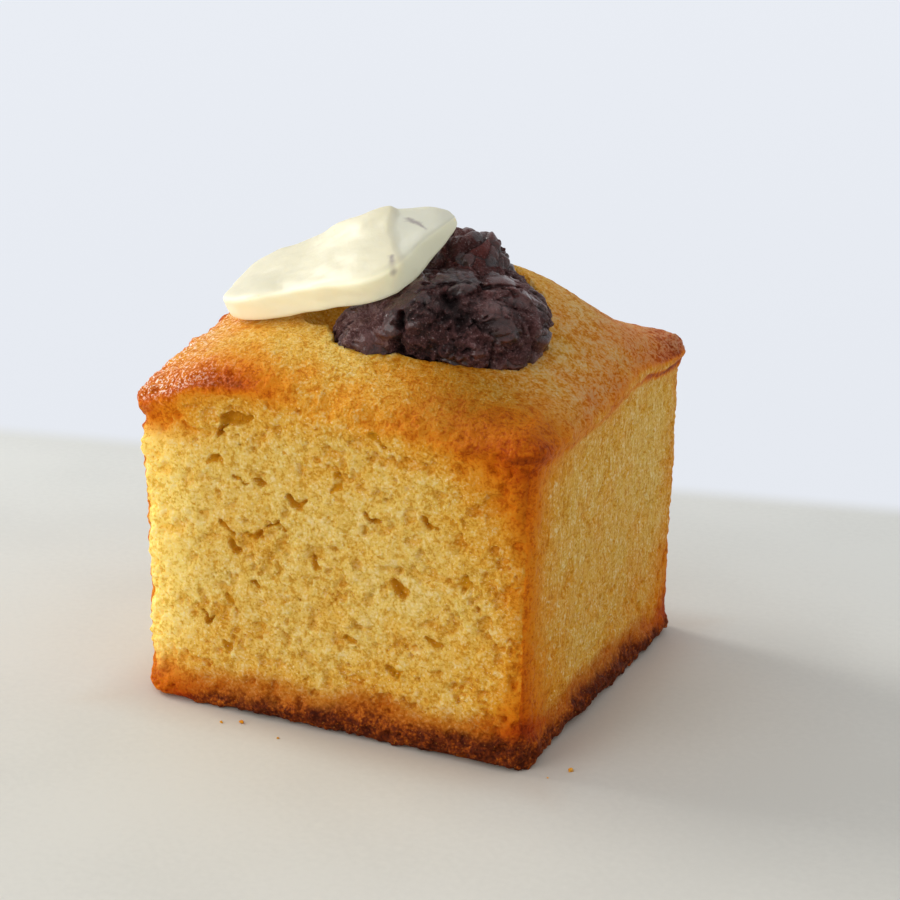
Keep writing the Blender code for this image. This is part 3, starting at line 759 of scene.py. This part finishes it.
class Finish:
    """A material built round one Principled shader."""

    def __init__(self, name, **fixed):
        self.material = bpy.data.materials.new(name)
        self.material.use_nodes = True
        self.tree = self.material.node_tree
        self.shader = self.tree.nodes["Principled BSDF"]
        self.place = self.node("ShaderNodeTexCoord", {}, {}, "Object")
        self.mm = self.node("ShaderNodeVectorMath", {"operation": "SCALE"}, {0: self.place, "Scale": 1000})
        for socket, value in fixed.items():
            self.shader.inputs[socket.replace("_", " ")].default_value = value

    def node(self, kind, settings, sockets, out=0):
        """The output of a new node, with its settings made first and then its sockets filled or linked."""
        made = self.tree.nodes.new(kind)
        for setting, value in settings.items():
            if setting == "stops":
                while len(made.color_ramp.elements) < len(value):
                    made.color_ramp.elements.new(0.5)
                for element, (place, color) in zip(made.color_ramp.elements, value):
                    element.position, element.color = place, (*color, 1)
            else:
                setattr(made, setting, value)
        for socket, value in sockets.items():
            self.fill(made.inputs[socket], value)
        return Value(self, made.outputs[out])

    def fill(self, socket, value):
        if isinstance(value, Value):
            self.tree.links.new(value.socket, socket)
        elif isinstance(value, tuple) and len(value) == 3 and socket.type == "RGBA":
            socket.default_value = (*value, 1)
        else:
            socket.default_value = value

    def mark(self, name):
        """A value that the piece's mesh keeps at each of its points."""
        return self.node("ShaderNodeAttribute", {"attribute_name": name}, {}, "Fac")

    def noise(self, size, detail, stretch=None, roughness=0.5):
        """Soft random values round 0.5, in lumps of the size in millimetres."""
        place = self.mm
        if stretch:
            place = self.node("ShaderNodeVectorMath", {"operation": "MULTIPLY"}, {0: self.mm, 1: stretch})
        sockets = {"Vector": place, "Scale": 1 / size, "Detail": detail, "Roughness": roughness}
        return self.node("ShaderNodeTexNoise", {}, sockets)

    def dots(self, size):
        """Distance to the nearest of many scattered dots a size apart, in shares of the size."""
        return self.node("ShaderNodeTexVoronoi", {"feature": "F1"}, {"Vector": self.mm, "Scale": 1 / size})

    def ramp(self, factor, *stops):
        return self.node("ShaderNodeValToRGB", {"stops": stops}, {0: factor})

    def mix(self, factor, first, second, blend="MIX"):
        """The first colour, and by the factor the second one, laid over it or multiplied with it."""
        settings = {"data_type": "RGBA", "blend_type": blend}
        return self.node("ShaderNodeMix", settings, {0: factor, 6: first, 7: second}, 2)

    def bump(self, height, distance, strength):
        """Fine relief that the shape itself is too coarse for."""
        sockets = {"Height": height, "Distance": distance, "Strength": strength}
        self.fill(self.shader.inputs["Normal"], self.node("ShaderNodeBump", {}, sockets))

    def paint(self, **sockets):
        """Fill the shader's sockets, named with underscores for spaces."""
        for socket, value in sockets.items():
            self.fill(self.shader.inputs[socket.replace("_", " ")], value)


def cake_finish():
    finish = Finish(
        "baked_cake", Subsurface_Weight=0.20, Subsurface_Radius=(1.0, 0.55, 0.12), Subsurface_Scale=1.2 * MM,
        Specular_IOR_Level=0.06, Coat_Roughness=0.16, Emission_Strength=1.0,
    )
    bake, crust, cavity, streaks = (finish.mark(name) for name in ("bake", "crust", "cavity", "streaks"))
    blotch = finish.noise(4.5, 3.0, roughness=0.6)
    grain = finish.noise(1.2, 5.0, roughness=0.72)
    fine = finish.noise(0.34, 3.0, roughness=0.65)
    small_grains, big_grains = finish.dots(0.42), finish.dots(0.75)
    streak = finish.noise(0.40, 2.0, stretch=(1.0, 1.0, 0.16))
    rough = (grain - 0.5) * 2.0 + (0.55 - small_grains) * 0.55 + (0.55 - big_grains) * 0.25
    rough = rough * (1 - streaks * 0.45) + (fine - 0.5) * 1.6 + (streak - 0.5) * streaks * 0.9 + 0.25
    glint = finish.dots(0.33).between(0.26, 0.12) * fine.between(0.48, 0.58)

    # The baked colour, paler and darker from grain to grain, with painted light on the front's left strip,
    # painted highlight on the raised grains and painted shade in the hollows between them
    level = bake + (blotch - 0.5) * (0.24 - streaks * 0.03) + (0.28 - rough) * (0.07 + crust * 0.06) + cavity * 0.04
    color = finish.ramp(level, *BAKED)
    # Painted light: the front's left strip lit through from the window side
    color = finish.mix(finish.mark("glow") * 0.75, color, SUNLIT_CRUMB)
    plain = level.between(0.44, 0.24)
    # Paler raised grains and pale streaks: partly the crumb's own, partly painted highlight
    pale = rough.between(0.30, 0.75) * plain
    color = finish.mix(pale * (0.40 + streaks * 0.35 - crust * 0.12), color, PALE_CRUMB)
    color = finish.mix(finish.mark("deep"), color, DEEPER_BROWN, "MULTIPLY")
    # Painted sheen on the right of the top, laid on its paler grains
    color = finish.mix(finish.mark("haze") * rough.between(0.0, 0.6) * 0.45, color, SHEEN_ON_CRUST)
    # Painted shade in the hollows between the raised grains
    color = finish.mix(rough.between(0.28, -0.10) * 0.85, color, SHADE_BETWEEN_GRAINS, "MULTIPLY")

    # Cavities in painted shade, torn holes and pinholes, and painted glints between them
    # Painted shade in the cavities and in the hollow under the paste, a deeper amber
    color = finish.mix(cavity * 0.9, color, SHADE_IN_CAVITIES, "MULTIPLY")
    torn = (finish.mark("tear") + (fine - 0.5) * 2.4).between(-0.42, 0.10)
    cluster = finish.noise(3.0, 2.0).between(0.40, 0.62)
    pin = (finish.dots(0.7) + (fine - 0.5) * 0.9).between(0.24, 0.12) * (0.3 + plain * 0.7) * cluster
    hole = torn.maths("MAXIMUM", pin * 0.7)
    color = finish.mix(hole * 0.95, color, TORN_CRUMB)
    color = finish.mix(glint * plain * 0.5, color, GLINT_ON_CRUMB)

    # The foot, amber above and nearly burnt below and with painted glints, and painted glints on the rim at the left
    foot = finish.mark("foot")
    color = finish.mix(foot.between(0.05, 0.55), color, AMBER_STAIN, "MULTIPLY")
    dark_foot = finish.ramp(rough * 0.6 + (blotch - 0.5) * 0.9 + 0.17 + (1 - foot) * 0.7, *DARK_FOOT)
    color = finish.mix(foot.between(0.50, 0.86), color, dark_foot)
    color = finish.mix(glint * foot * 0.4, color, GLINT_ON_FOOT)
    rim_glint = fine.between(0.51, 0.58) * rough.between(0.15, 0.55) * finish.mark("glaze")
    color = finish.mix(rim_glint * 0.9, color, RIM_GLINT)
    finish.paint(
        Base_Color=color,
        Roughness=0.62 - crust * 0.12,
        Coat_Weight=glint * (1 - hole) * finish.mark("shine"),
        # Painted glow: the front's left strip gives off some of its own colour
        Emission_Color=finish.mix(finish.mark("lit") * 0.22, BLACK, color),
    )
    finish.bump((rough + fine * 0.4) * (1 + crust * 0.5) - hole * 1.2, 0.28 * MM, 0.45)
    return finish.material


def paste_finish():
    finish = Finish("red_bean_paste", Specular_IOR_Level=0.28, Coat_Roughness=0.14)
    skin = finish.mark("skin")
    grain, fine, patch = finish.noise(0.5, 5.0, roughness=0.75), finish.noise(0.22, 2.0), finish.noise(2.6, 3.0)
    small_grains = finish.dots(0.28)
    rough = (grain - 0.5) * 2.0 + (0.55 - small_grains) * 0.6 + (fine - 0.5) * 1.0
    level = finish.mark("tone") + (patch - 0.5) * 1.1 + rough * 0.60
    mash = finish.mix(finish.mark("red") * 0.75, finish.ramp(level, *MASHED_PASTE), RED_PASTE)
    color = finish.mix(skin * 0.85, mash, finish.ramp(level, *BEAN_SKIN))
    # Painted shade in the cracks and seams
    color = finish.mix(finish.mark("crack") * 0.8, color, SHADE_IN_PASTE_CRACKS)
    speck = small_grains.between(0.34, 0.16) * grain.between(0.47, 0.56)
    color = finish.mix(speck * (1 - skin) * 0.35, color, PASTE_SPECK)
    shine = finish.dots(0.9).between(0.30, 0.10) * fine.between(0.45, 0.55)
    coat = (skin * 0.60 + speck * 0.4).maths("MAXIMUM", shine)
    finish.paint(Base_Color=color, Roughness=0.50 - skin * 0.15, Coat_Weight=coat)
    finish.bump(rough * (1 - skin * 0.7), 0.40 * MM, 1.0)
    return finish.material


def butter_finish():
    finish = Finish(
        "butter", Subsurface_Weight=0.35, Subsurface_Radius=(1.0, 0.85, 0.55), Subsurface_Scale=2.0 * MM,
        Specular_IOR_Level=0.35, Emission_Strength=1.0,
    )
    above = finish.mark("above")
    cloud = finish.noise(4.0, 2.0)
    # Painted light and shade: the sides lighter and the top darker than the butter, against how the lamps light them
    color = finish.mix(above, LIT_BUTTER_SIDE, SHADED_BUTTER_TOP)
    color = finish.mix(cloud.between(0.45, 0.75) * 0.15, color, BUTTER_CLOUD)
    color = finish.mix(finish.mark("far_end") * 0.75, color, BUTTER_FAR_END)
    color = finish.mix(finish.dots(2.6).between(0.10, 0.04) * 0.5, color, BUTTER_SPECK)
    color = finish.mix(finish.mark("smear") * 0.75, color, BUTTER_SMEAR)
    # Painted glow on the sides, none on the top
    painted_glow = finish.mix(above, BUTTER_PAINTED_GLOW, BLACK)
    finish.paint(Base_Color=color, Roughness=0.40 + (cloud - 0.5) * 0.15, Emission_Color=painted_glow)
    finish.bump(finish.noise(1.2, 3.0), 0.12 * MM, 0.5)
    return finish.material


def floor_finish():
    """Pale warm grey near the cake, and the even pale blue of the background beyond it."""
    finish = Finish("pale_floor", Specular_IOR_Level=0.1, Emission_Strength=1.0)
    edge, away = FLOOR_EDGE
    distance = finish.node("ShaderNodeVectorMath", {"operation": "DOT_PRODUCT"}, {0: finish.place, 1: away}, "Value")
    beyond = distance.between(edge - 4 * MM, edge + 5 * MM)
    cloud, grain = finish.noise(38, 2.0), finish.noise(0.9, 3.0)
    # The floor painted lighter towards its far edge: painted light
    near = finish.mix(distance.between(-60 * MM, edge), FLOOR_NEAR, FLOOR_FAR)
    near = finish.mix((cloud * 0.7 + grain * 0.3).between(0.35, 0.65) * 0.06, near, BLACK)

    # A painted warm shadow on the floor round the cake's foot
    apart = finish.node("ShaderNodeVectorMath", {"operation": "ABSOLUTE"}, {0: finish.place})
    aside, ahead = (finish.node("ShaderNodeSeparateXYZ", {}, {0: apart}, axis) for axis in ("X", "Y"))
    painted_shadow = aside.maths("MAXIMUM", ahead).between(HALF + 9 * MM, HALF - 1 * MM)
    near = finish.mix(painted_shadow * 0.38, near, FLOOR_PAINTED_SHADOW)
    finish.paint(
        Base_Color=finish.mix(beyond, near, BLACK),
        Emission_Color=finish.mix(beyond, BLACK, BACKGROUND),
        Roughness=0.6,
    )
    finish.bump(grain, 0.04 * MM, 0.4)
    return finish.material


# ---------------------------------------------------------------------------- camera, light and floor


def add_camera():
    """The camera at the photograph's angle, as fitted to the cake's outline."""
    turn, rise, roll = (math.radians(angle) for angle in CAMERA_ANGLES)
    back = Vector((math.sin(turn) * math.cos(rise), -math.cos(turn) * math.cos(rise), math.sin(rise)))
    right = Vector((math.cos(turn), math.sin(turn), 0))
    up = back.cross(right)
    place = right * CAMERA_ASIDE + Vector((0, 0, CAMERA_UP)) + back * CAMERA_AWAY
    level, upright = right * math.cos(roll) + up * math.sin(roll), up * math.cos(roll) - right * math.sin(roll)
    data = bpy.data.cameras.new("camera")
    data.lens, data.sensor_width = LENS, SENSOR
    data.clip_start = 10 * MM
    camera = bpy.data.objects.new("camera", data)
    camera.matrix_world = Matrix((level, upright, back)).transposed().to_4x4()
    camera.location = place
    bpy.context.scene.collection.objects.link(camera)
    bpy.context.scene.camera = camera


def add_lamp(name, place, size, power, color):
    """A soft round lamp that faces the cake."""
    data = bpy.data.lights.new(name, "AREA")
    data.shape, data.size = "DISK", size
    data.energy, data.color = power, color
    light = bpy.data.objects.new(name, data)
    light.location = place
    aim = Vector(LAMP_AIM) - Vector(place)
    light.rotation_euler = aim.to_track_quat("-Z", "Y").to_euler()
    bpy.context.scene.collection.objects.link(light)


def add_world():
    """Soft daylight all round, brightest from the window side and dimmest opposite it."""
    world = bpy.data.worlds.new("studio")
    world.use_nodes = True
    tree = world.node_tree
    background = tree.nodes["Background"]
    place = tree.nodes.new("ShaderNodeTexCoord")
    facing = tree.nodes.new("ShaderNodeVectorMath")
    facing.operation = "DOT_PRODUCT"
    facing.inputs[1].default_value = Vector(WINDOW_WAY).normalized()
    shares = tree.nodes.new("ShaderNodeMapRange")
    shares.inputs["From Min"].default_value = -1
    sky = tree.nodes.new("ShaderNodeValToRGB")
    while len(sky.color_ramp.elements) < len(SKY):
        sky.color_ramp.elements.new(0.5)
    for element, (dot, color) in zip(sky.color_ramp.elements, SKY):
        element.position, element.color = dot / 2 + 0.5, (*color, 1)
    tree.links.new(place.outputs["Generated"], facing.inputs[0])
    tree.links.new(facing.outputs["Value"], shares.inputs[0])
    tree.links.new(shares.outputs[0], sky.inputs[0])
    tree.links.new(sky.outputs[0], background.inputs["Color"])
    bpy.context.scene.world = world


def add_floor():
    mesh = bpy.data.meshes.new("floor")
    corners = [(FLOOR_REACH * x, FLOOR_REACH * y, 0) for x, y in ((-1, -1), (1, -1), (1, 1), (-1, 1))]
    mesh.from_pydata(corners, [], [(0, 1, 2, 3)])
    mesh.materials.append(floor_finish())
    floor = bpy.data.objects.new("floor", mesh)
    bpy.context.scene.collection.objects.link(floor)


def main():
    bpy.context.scene.view_settings.view_transform = "Standard"
    add_camera()
    add_world()
    add_floor()
    for lamp in LAMPS:
        add_lamp(*lamp)

    baked_cake = cake_finish()
    crumbs = add_piece("fallen_crumbs", *crumbs_mesh(), baked_cake, CAKE_TRIANGLES)
    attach(crumbs, "root")
    pieces = (
        ("crumb_and_crust", "cake", "baked_cake", cake_mesh(CAKE_CELLS), baked_cake, CAKE_TRIANGLES),
        ("mashed_beans", "bean_paste", "red_bean_paste", paste_mesh(PASTE_CELLS), paste_finish(), PASTE_TRIANGLES),
        ("butter_pat", "butter_slab", "butter", butter_mesh(BUTTER_CELLS), butter_finish(), BUTTER_TRIANGLES),
    )
    for name, node, slot, (points, faces, marks), finish, most in pieces:
        piece = add_piece(name, points, faces, marks, finish, most)
        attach(piece, "root")
        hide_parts(node)


main()
